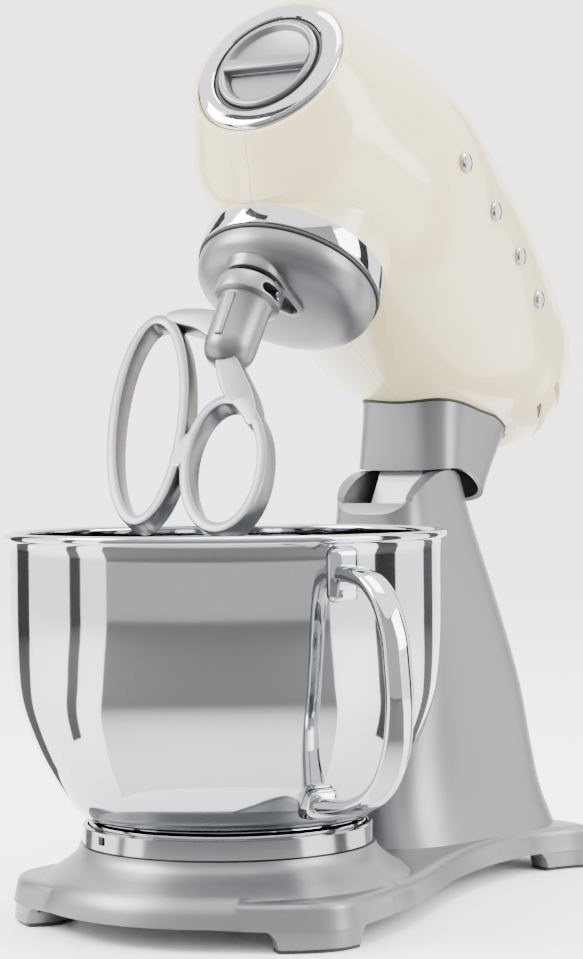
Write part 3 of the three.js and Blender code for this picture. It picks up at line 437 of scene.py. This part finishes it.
def base_outline(inset, points=128):
    count = len(whole_outline)
    curve = []
    for i in range(points):
        at = i * count / points
        k, t = int(at), at - int(at)
        p = [Vector(whole_outline[(k + j) % count]) for j in (-1, 0, 1, 2)]
        curve.append(0.5 * (2 * p[1] + (p[2] - p[0]) * t + (2 * p[0] - 5 * p[1] + 4 * p[2] - p[3]) * t**2
                            + (3 * p[1] - p[0] - 3 * p[2] + p[3]) * t**3))
    moved = []
    for i, p in enumerate(curve):
        run = (curve[(i + 1) % points] - curve[i - 1]).normalized()
        moved.append((p.x - run.y * inset, p.y + run.x * inset))
    return moved


def base_body(inset, low, high, round_over, points=128):
    rings = [[(x, y, low) for x, y in base_outline(inset, points)]]
    for i in range(7):
        angle = math.radians(15 * i)
        pull, lift = round_over * (1 - math.cos(angle)), round_over * math.sin(angle)
        rings.append([(x, y, high - round_over + lift) for x, y in base_outline(inset + 2 + pull, points)])
    return loft(rings)


column_front = [(15, 104), (25, 108), (45, 116), (70, 125), (110, 136), (160, 146), (214, 155), (250, 155)]
column_rear = [(15, 275), (25, 275), (45, 274), (70, 273), (110, 269), (160, 258), (214, 240), (250, 224)]
column_narrow = [(15, 66), (25, 60), (45, 52), (70, 47), (110, 43), (160, 37), (214, 30), (250, 29)]
column_wide = [(15, 86), (25, 82), (45, 72), (70, 65), (110, 57), (160, 44), (214, 31.5), (250, 29)]


def column_body(inset, low, high, levels=28, points=72):
    rings = []
    for level in range(levels + 1):
        z = low + (high - low) * level / levels
        front, rear = along(column_front, z) + inset, along(column_rear, z) - inset
        ring = []
        for i in range(points):
            angle = 2 * math.pi * i / points
            c, s = math.cos(angle), math.sin(angle)
            u = math.copysign(abs(s) ** 0.5, s)
            part = (u + 1) / 2
            half = along(column_narrow, z) * (1 - part) + along(column_wide, z) * part - inset
            y = (front + rear) / 2 + u * (rear - front) / 2
            ring.append((math.copysign(abs(c) ** 0.5, c) * half, y, z))
        rings.append(ring)
    return loft(rings)


hinge_y, hinge_z = 202, 184
casting = rough(column_body(0, 16, 246), "casting")
limit = rough(rod(56, (-60, hinge_y, hinge_z), (60, hinge_y, hinge_z), 96), "limit")
cut(limit, rough(cube((-120, 90, 0), (120, 300, hinge_z))), "UNION")
cut(casting, limit, "INTERSECT")
cone = [(0, 12), (104, 12), (102.5, 18), (100, 23.5), (95.5, 27.5), (89, 31.5), (84, 35.5), (80.8, 39),
        (80, 42),
        (0, 42)]
cut(casting, rough(spun(cone, 128, False)), "UNION")
cut(casting, rough(base_body(0, 11, 25, 5)), "UNION")
foot_places = {
    "front_left": (90, -56),
    "front_right": (-90, -56),
    "rear_left": (86, 246),
    "rear_right": (-86, 246),
}
foot_flare = [(0, 1.9), (22.6, 1.9), (23, 4), (24, 7), (26, 9.6), (29.5, 12), (35, 14), (40, 15),
              (40, 17), (0, 17)]
for x, y in foot_places.values():
    pad = spun(foot_flare, 96, False)
    bmesh.ops.translate(pad, vec=(x, y, 0), verts=pad.verts)
    pad = rough(pad, "pad")
    cut(pad, rough(base_body(0.4, 1, 22, 1)), "INTERSECT")
    cut(casting, pad, "UNION")
outer = bpy.data.objects.new("outer", casting.data.copy())
bpy.context.scene.collection.objects.link(outer)


def within_casting(piece):
    return cut(piece, bpy.data.objects.new("outer", outer.data.copy()), "INTERSECT")


cut(casting, rough(column_body(5, 10, 176, 12, 40)))
cut(casting, rough(spun([(0, 8), (96, 8), (92, 22), (74, 36), (0, 36)], 64, False)))
cut(casting, rough(base_body(5, 8, 21, 3, 64)))
slot_tool = rough(rod(61, (-21, hinge_y, hinge_z), (21, hinge_y, hinge_z), 96), "slot")
cut(slot_tool, rough(cube((-21, 160, 140), (21, 226, 260))), "INTERSECT")
cut(casting, slot_tool)
cut(casting, rough(cube((-21, 140, 221), (21, 190, 260))))
cut(casting, rough(cube((-60, 140, 222), (60, 163.5, 260))))
cut(casting, rough(rod(6.3, (-28, hinge_y, hinge_z), (28, hinge_y, hinge_z))))
cut(casting, rough(rod(11.5, (0, 225, 150), (0, 290, 150), 64)))
cut(casting, rough(rod(2.5, (-34, 228, 164), (34, 228, 164), 32)))
cut(casting, rough(rod(8, (-30, 250, 42), (-30, 300, 42))))
cut(casting, rough(rod(16, (0, 0, 30), (0, 0, 60))))
screw_places = ((58, -30), (-58, -30), (55, 205), (-55, 205))
for x, y in screw_places:
    cut(casting, within_casting(rough(rod(5, (x, y, 13.6), (x, y, 40), 32), "boss")), "UNION")
cut(casting, within_casting(rough(cube((-90, 203, 13.6), (90, 207, 34)), "rib")), "UNION")
for x, y in screw_places:
    cut(casting, rough(rod(2, (x, y, 12), (x, y, 27), 16)))
for low, high in ((14, 60), (-60, -14)):
    web = within_casting(rough(cube((low, 223, 158), (high, 233, 178)), "web"))
    cut(web, rough(rod(2.5, (-34, 228, 164), (34, 228, 164), 32)))
    cut(web, rough(cube((-21, 160, 140), (21, 226, 260))))
    cut(casting, web, "UNION")
bpy.data.objects.remove(outer)
finished(casting, "stand_body", stand_place, "stand", ["stand_casting"], "satin_silver", 28)

# ---- Rubber feet: thin moulded pads ----
# One is bonded under each corner foot of the casting.
for where, (x, y) in foot_places.items():
    pad = rough(rod(22.5, (x, y, 0), (x, y, 1.6), 96), "pad")
    cut(pad, rough(base_body(1.6, -2, 12, 0.5)), "INTERSECT")
    finished(pad, "rubber_foot_" + where, stand_place, "stand", ["foot_" + where], "black_rubber")


# ---- Release button: a polished round key low on the back of the column ----
# Pressing it turns the pawl that holds the head; its plunger runs inside the column.
def turned_along(profile, start, axis, steps=96):
    mesh = spun(profile, steps, False)
    swing = Vector(axis).to_track_quat("Z", "Y").to_matrix().to_4x4()
    bmesh.ops.transform(mesh, matrix=Matrix.Translation(start) @ swing, verts=mesh.verts)
    return mesh


button_side = [(0, 0), (10.8, 0), (11.1, 0.3), (11.1, 15.4), (10.7, 16.6), (9.6, 17.2), (7.5, 17),
               (4, 16.4), (0, 16.2)]
button = rough(turned_along(button_side, (0, 244, 150), (0, 1, 0)), "button")
cut(button, rough(rod(2.5, (0, 233.4, 150), (0, 246, 150), 32)), "UNION")
finished(button, "release_key", stand_place, "release", ["release_button"], "mirror_chrome")

# ---- Head shell: two enamelled halves that meet on the centre line ----
# Each half is a thin pressing: round at the nose, squarer on top, with vent slots at the tail.
spin_joint = [joint for joint in frame["joints"] if joint["name"] == "planetary_spin"][0]
head_up = Vector(spin_joint["axis"])
head_back = head_up.cross(Vector((1, 0, 0)))
head_basis = Matrix((Vector((1, 0, 0)), head_back, head_up)).transposed().to_4x4()
head_place = Matrix.Translation(spin_joint["pos_m"]) @ head_basis @ MM
head_half = [(-80, 48.5), (-62, 55), (-30, 65), (20, 77.7), (80, 76), (140, 72.5), (195, 65)]
head_top = [(-80, 136.7), (-62, 143), (-30, 148), (80, 149), (140, 145), (195, 138)]
head_low = [(-80, 39.9), (-74, 33), (-66, 25.6), (-59, 18), (-54.5, 13.8), (-46, 12.3), (20, 11), (80, 10.5),
            (140, 13.6), (170, 22), (195, 33)]


def head_skin(inset, points=96, spans=44, tail=18):
    rings = []
    reach = 265 - inset - 195
    marks = [(-80 + 275 * i / spans, 0) for i in range(spans)]
    marks += [(195, math.sin(math.pi / 2 * i / tail)) for i in range(tail)] + [(195, 0.9985)]
    for y, t in marks:
        y = max(y, -80 + inset)
        full = min(max((y + 80) / 80, 0), 1)
        full = full * full * (3 - 2 * full)
        top, low, half = along(head_top, y) - inset, along(head_low, y) + inset, along(head_half, y) - inset
        ease = reach * t * (1 - t) ** 2
        top, low, half = top - 0.12 * ease, low + 0.3 * ease, half - 0.13 * ease
        scale = math.sqrt(1 - t**2.1)
        ring = []
        for i in range(points):
            angle = 2 * math.pi * (i + 0.5) / points
            c, s = math.cos(angle), math.sin(angle)
            power = 2 / (2 + (1.2 if s > 0 else 0.2) * full)
            x = math.copysign(abs(c) ** power, c) * half * scale
            z = math.copysign(abs(s) ** power, s) * scale * (top - low) / 2
            ring.append((x, y + t * reach, (top + low) / 2 + z - t * t * 5.5))
        rings.append(ring)
    return loft(rings)


hub_z = 88.2
tool_offset = 29.25
shell = rough(head_skin(0), "shell")
cut(shell, rough(rod(52.8, (0, 0, 12.7), (0, 0, 32), 128)), "UNION")
cut(shell, rough(head_skin(3, 48, 30, 10)))
cut(shell, rough(rod(54.3, (0, 0, -20), (0, 0, 12.7), 128)))
cut(shell, rough(rod(50, (0, 0, 5), (0, 0, 36), 96)))
cut(shell, rough(rod(45.4, (0, -95, hub_z), (0, -60, hub_z), 128)))
cut(shell, rough(cube((-17, 143, 0), (17, 206, 45))))
cut(shell, rough(cube((-3.4, 58, 130), (3.4, 122, 160))))
for z in (44, 59, 74):
    for low, high in ((17, 70), (-70, -17)):
        cut(shell, rough(cube((low, 212, z - 2.6), (high, 275, z + 2.6), 1.2)))
stud_places = ((18, 92), (63, 92), (106, 92), (144, 88))
for y, z in stud_places:
    cut(shell, rough(rod(1.7, (60, y, z), (90, y, z), 16)))
for side, low, high in (("left", 0.15, 90), ("right", -90, -0.15)):
    copy = bpy.data.objects.new("half", shell.data.copy())
    bpy.context.scene.collection.objects.link(copy)
    cut(copy, rough(cube((low, -100, -20), (high, 300, 200))), "INTERSECT")
    finished(copy, "head_cover_" + side, head_place, "head", ["head_shell_" + side], "cream_paint", 28)
bpy.data.objects.remove(shell)

# ---- Neck collar: a satin silver sleeve with a rubber line at its top ----
# It is fixed under the head, and its lower edge is an arc about the hinge that clears the column's top.
mixer_to_head = head_place.inverted() @ stand_place
neck_front = [(195, 190), (230, 190), (258, 192), (283, 194), (300, 196)]
neck_rear = [(195, 232), (230, 253), (258, 278), (283, 300), (300, 315)]


def collar_body(inset, levels=24, points=96):
    rings = []
    for level in range(levels + 1):
        z = 195 + 105 * level / levels
        front, rear = along(neck_front, z), along(neck_rear, z)
        half = 34.5 - inset + max(z - 270, 0) * 0.05
        ring = []
        for i in range(points):
            angle = 2 * math.pi * i / points
            c, s = math.cos(angle), math.sin(angle)
            y = (front + rear) / 2 + math.copysign(abs(s) ** 0.5, s) * ((rear - front) / 2 - inset)
            ring.append(mixer_to_head @ Vector((math.copysign(abs(c) ** 0.5, c) * half, y, z)))
        rings.append(ring)
    return loft(rings)


hinge_in_head = mixer_to_head @ Vector((0, hinge_y, hinge_z))
collar = rough(collar_body(0), "collar")
cut(collar, rough(collar_body(3)))
cut(collar, rough(head_skin(-1.5)))
cut(collar, rough(rod(57.3, hinge_in_head - Vector((60, 0, 0)), hinge_in_head + Vector((60, 0, 0)), 144)))
finished(collar, "neck_sleeve", head_place, "head", ["neck_collar"], "satin_silver")
line = rough(collar_body(-0.5), "line")
cut(line, rough(head_skin(-1.2)), "INTERSECT")
cut(line, rough(collar_body(3.5)))
cut(line, rough(head_skin(-0.3)))
finished(line, "neck_gasket", head_place, "head", ["collar_gasket"], "black_rubber")

# ---- Front hub: chrome ring, rubber seal and the round cap with its finger bar ----
# The cap's plug fills the accessory socket; it is pulled straight out and can be turned by the bar.
front = (0, 0, hub_z)
forward = (0, -1, 0)
ring_side = [(33.6, 69), (45.1, 69), (45.1, 79.8), (44.8, 81), (43.8, 82.2), (42.2, 82.8), (36.5, 83.4),
             (34.6, 83.4),
             (33.8, 82.9), (33.6, 82), (33.6, 69)]
keep(turned_along(ring_side, front, forward, 128),
     "front_ring", head_place, "head", ["chrome_front_ring"], "mirror_chrome")
rubber_side = [(31, 71), (33.3, 71), (33.3, 81.6), (32.9, 82), (31.6, 81.8), (31, 81.2), (31, 71)]
keep(turned_along(rubber_side, front, forward, 128),
     "front_rubber", head_place, "head", ["front_seal"], "black_rubber")
knob_side = [(0, 77.9), (30.4, 77.9), (30.6, 78.2), (30.6, 83.2), (30.2, 84.1), (29.2, 84.6),
             (27.6, 84.6), (26.7, 84.1),
             (25.7, 81.6), (24.6, 81), (0, 81)]
dish_side = [(0, 79.6), (24.2, 79.6), (25.6, 81.6), (25.6, 90), (0, 90)]
knob = rough(turned_along(knob_side, front, forward, 128), "knob")
dish = rough(turned_along(dish_side, front, forward, 96), "dish")
cut(dish, rough(cube((-40, -100, hub_z - 40), (40, -60, hub_z - 5.2), 0.6)), "INTERSECT")
cut(knob, dish)
bar = rough(cube((-27.6, -85.6, hub_z - 4.2), (27.6, -79.6, hub_z + 3.8), 1.4), "bar")
cut(bar, rough(turned_along([(0, 78), (27, 78), (27, 90), (0, 90)], front, forward, 96)), "INTERSECT")
cut(knob, bar, "UNION")
cut(knob, rough(rod(4, (0, -80, hub_z), (0, -66, hub_z), 32)), "UNION")
finished(knob, "cap_face_knob", head_place, "cap_face", ["cap_knob"], "satin_silver", 40)

# ---- Planetary: a chrome band and rubber line on the head, and the turning carrier ----
# The carrier is a shallow dome with a teardrop boss that holds the tool spindle off centre.
keep(spun([(51, 0.4), (52.4, 0.4), (53, 0.7), (53.3, 1.4), (53.3, 12.4), (51, 12.4)], 144),
     "chrome_band", head_place, "head", ["planetary_band"], "mirror_chrome")
keep(spun([(50.6, -1.6), (52.4, -1.6), (52.8, -1.2), (52.8, 0.1), (50.6, 0.1)], 144),
     "band_rubber", head_place, "head", ["planetary_gasket"], "black_rubber")


def teardrop(inset, z, points=72):
    big, small, reach = Vector((0, -tool_offset)), Vector((10, -3)), 17 - inset
    tip = 7 - inset
    heading = math.atan2(small.y - big.y, small.x - big.x)
    spread = math.acos((reach - tip) / (small - big).length)
    ring = []
    for i in range(points // 2):
        angle = heading + spread + (2 * math.pi - 2 * spread) * i / (points // 2 - 1)
        ring.append((big.x + reach * math.cos(angle), big.y + reach * math.sin(angle), z))
    for i in range(points // 2):
        angle = heading - spread + 2 * spread * i / (points // 2 - 1)
        ring.append((small.x + tip * math.cos(angle), small.y + tip * math.sin(angle), z))
    return ring


dome_out = [(0, -21), (15, -20.9), (30, -20.4), (36, -19.6), (41, -18.2), (45, -16.2), (48.2, -13.6),
            (50.3, -10.6), (51.3, -7.2), (51.5, -4.5), (51.5, -2)]
dome_in = [(48.5, -2), (48.5, -7), (44, -12), (36, -15.5), (24, -17.5), (9, -17.8)]
drive_shaft = [(9, 34), (5, 34.6), (5, 83), (0, 83)]
carrier = rough(spun(dome_out + dome_in + drive_shaft, 144, False), "carrier")
boss_steps = ((-0.8, -16), (0, -19), (0, -22.2), (0.3, -22.8), (1, -23))
cut(carrier, rough(loft([teardrop(inset, z) for inset, z in boss_steps])), "UNION")
cut(carrier, rough(rod(14, (0, -tool_offset, -18), (0, -tool_offset, -1), 64)), "UNION")
cut(carrier, rough(loft([teardrop(3.4, -18.6), teardrop(3, -22.4), teardrop(2.5, -23.4)])))
cut(carrier, rough(rod(5.8, (0, -tool_offset, -30), (0, -tool_offset, 5))))
cut(carrier, rough(rod(11.2, (0, -tool_offset, -24), (0, -tool_offset, -15.5), 64)))
finished(carrier, "carrier_dome", head_place, "carrier", ["planet_carrier"], "satin_silver")

# ---- Tool spindle, its spring and cross pin ----
# The black coil spring presses the tool down on to the pin, which drives the tool's slot.
spindle_side = [(0, -66), (4.6, -66), (5.5, -65.1), (5.5, 12), (0, 12)]
spindle = rough(turned_along(spindle_side, (0, -tool_offset, 0), (0, 0, 1), 64), "spindle")
cut(spindle, rough(rod(2.8, (-30, -tool_offset, -33), (30, -tool_offset, -33), 32)))
finished(spindle, "spindle_rod", head_place, "spindle", ["tool_spindle"], "polished_steel")
pin_side = [(0, -20), (2, -20), (2.5, -19.5), (2.5, 19.5), (2, 20), (0, 20)]
keep(turned_along(pin_side, (0, -tool_offset, -33), (1, 0, 0), 48),
     "drive_pin", head_place, "spindle", ["cross_pin"], "polished_steel")
coil = []
for i in range(211):
    angle = i / 210 * 3.5 * 2 * math.pi
    middle = Vector((8.4 * math.cos(angle), 8.4 * math.sin(angle) - tool_offset, -17 - 10.6 * i / 210))
    outward = Vector((math.cos(angle), math.sin(angle), 0))
    coil.append([middle + outward * 0.8 * math.cos(a) + Vector((0, 0, 0.8 * math.sin(a)))
                 for a in [2 * math.pi * k / 12 for k in range(12)]])
keep(loft(coil), "coil_spring", head_place, "spindle", ["tool_spring"], "black_plastic", 60)


# ---- Flat beater: one satin-finished aluminium casting ----
# A hub with a bayonet slot carries a large leaning loop and a small one, joined by flat straps.
half_depth = 6
half_strap = 3.25
strap_quarter = ((1, 4.6), (0.86, 5.6), (0.55, half_depth))
strap_top = strap_quarter + tuple((-side, deep) for side, deep in reversed(strap_quarter))
strap_section = strap_top + tuple((-side, -deep) for side, deep in strap_top)


def belt(x0, z0, long, short, tilt, steps=128):
    lean = math.radians(tilt)
    mesh = bmesh.new()
    rings = []
    for i in range(steps):
        angle = 2 * math.pi * i / steps
        across, up = short - half_strap, long - half_strap
        local = Vector((across * math.cos(angle), up * math.sin(angle)))
        normal = Vector((math.cos(angle) / across, math.sin(angle) / up)).normalized()
        ring = []
        for side, deep in strap_section:
            p = local + normal * half_strap * side
            x = x0 + p.x * math.cos(lean) - p.y * math.sin(lean)
            z = z0 + p.x * math.sin(lean) + p.y * math.cos(lean)
            ring.append(mesh.verts.new((x, deep - tool_offset, z)))
        rings.append(ring)
    for i in range(steps):
        one, two = rings[i], rings[(i + 1) % steps]
        for k in range(12):
            mesh.faces.new((one[k], two[k], two[(k + 1) % 12], one[(k + 1) % 12]))
    bmesh.ops.recalc_face_normals(mesh, faces=mesh.faces)
    return mesh


def flat_bar(outline):
    for _ in range(3):
        outline = [((1 - t) * a[0] + t * b[0], (1 - t) * a[1] + t * b[1])
                   for a, b in zip(outline, outline[1:] + outline[:1]) for t in (0.25, 0.75)]
    mesh = bmesh.new()
    face = mesh.faces.new([mesh.verts.new((x, -tool_offset - half_depth, z)) for x, z in outline])
    grown = bmesh.ops.extrude_face_region(mesh, geom=[face])
    far_side = [v for v in grown["geom"] if isinstance(v, bmesh.types.BMVert)]
    bmesh.ops.translate(mesh, vec=(0, 2 * half_depth, 0), verts=far_side)
    bmesh.ops.recalc_face_normals(mesh, faces=mesh.faces)
    rims = [edge for edge in mesh.edges if abs(edge.verts[0].co.y - edge.verts[1].co.y) < 0.1]
    bmesh.ops.bevel(mesh, geom=rims, offset=0.9, affect="EDGES", segments=3, profile=0.5, material=-1)
    return mesh


hub_ball = [(0, -80), (4, -79.7), (7.5, -78.6), (10.5, -76.6), (12.8, -73.6), (14.1, -70), (14.5, -66)]
hub_collar = [(14.5, -39.5), (15.2, -38.4), (17.8, -37.6), (18.5, -37), (18.7, -36), (18.7, -28), (18.3, -27),
              (17.4, -26.6), (12, -26.6), (12, -29), (0, -29)]
beater = rough(spun(hub_ball + hub_collar, 96, False), "beater")
beater.data.transform(Matrix.Translation((0, -tool_offset, 0)))
cut(beater, rough(cube((-2.2, -tool_offset - 16, -68), (2.2, -tool_offset - 13, -40), 0.9)), "UNION")
for outline in (
    [(-8, -46), (-22, -43.5), (-36, -42.5), (-48, -45.5), (-44, -51), (-34, -54), (-22, -57), (-8, -67)],
    [(-5, -74), (6, -72), (18, -86), (31, -103), (38, -120), (33, -123), (24, -112), (10, -102), (2, -90)],
    [(-7, -126), (1, -126), (1, -148), (-7, -148)],
):
    cut(beater, rough(flat_bar(outline)), "UNION")
cut(beater, rough(belt(-33.5, -115, 71, 25, 16)), "UNION")
cut(beater, rough(belt(25, -144.5, 45, 26, 20)), "UNION")
cut(beater, rough(rod(5.8, (0, -tool_offset, -68), (0, -tool_offset, -20), 64)))
for i in range(14):
    slot = rod(3.1, (-24, 0, -33), (24, 0, -33), 32)
    bmesh.ops.rotate(slot, matrix=Matrix.Rotation(math.radians(-2 * i), 3, "Z"), verts=slot.verts)
    bmesh.ops.translate(slot, vec=(0, -tool_offset, 0), verts=slot.verts)
    cut(beater, rough(slot))
finished(beater, "beater_casting", head_place, "beater", ["flat_beater"], "satin_silver", 34)

# ---- Speed slider and the round studs on the flank ----
# The slider's chrome roller stands out of the slot on the spine.
# Four plain studs are pressed into the left shell.
roller_side = [(0, -8), (3.8, -8), (4.5, -7.3), (4.5, 7.3), (3.8, 8), (0, 8)]
lever = rough(turned_along(roller_side, (0, 72, 154.3), (1, 0, 0), 64), "lever")
cut(lever, rough(cube((-3, 64, 141), (3, 80, 151.4))), "UNION")
cut(lever, rough(cube((-7, 62, 140), (7, 82, 142))), "UNION")
finished(lever, "slider_roller", head_place, "speed_slider", ["speed_lever"], "mirror_chrome")


def flank_at(y, z):
    top, low = along(head_top, y), along(head_low, y)
    rise = (z - (top + low) / 2) / ((top - low) / 2)
    return along(head_half, y) * (1 - abs(rise) ** 3.2) ** (1 / 3.2)


stud_side = [(0, 0), (5.3, 0), (5.5, 0.3), (5.5, 1.2), (5.2, 1.8), (4.4, 2.1), (2.5, 2.2), (0, 2.2)]
for i, (y, z) in enumerate(stud_places):
    flank = max(flank_at(y - 6, z), flank_at(y + 6, z)) + 0.4
    stud = rough(turned_along(stud_side, (flank, y, z), (1, 0, 0), 64), "stud")
    cut(stud, rough(rod(1.3, (flank - 6, y, z), (flank + 1, y, z), 16)), "UNION")
    finished(stud, f"flank_stud_{i + 1}", head_place, "head", [f"badge_stud_{i + 1}"], "mirror_chrome")
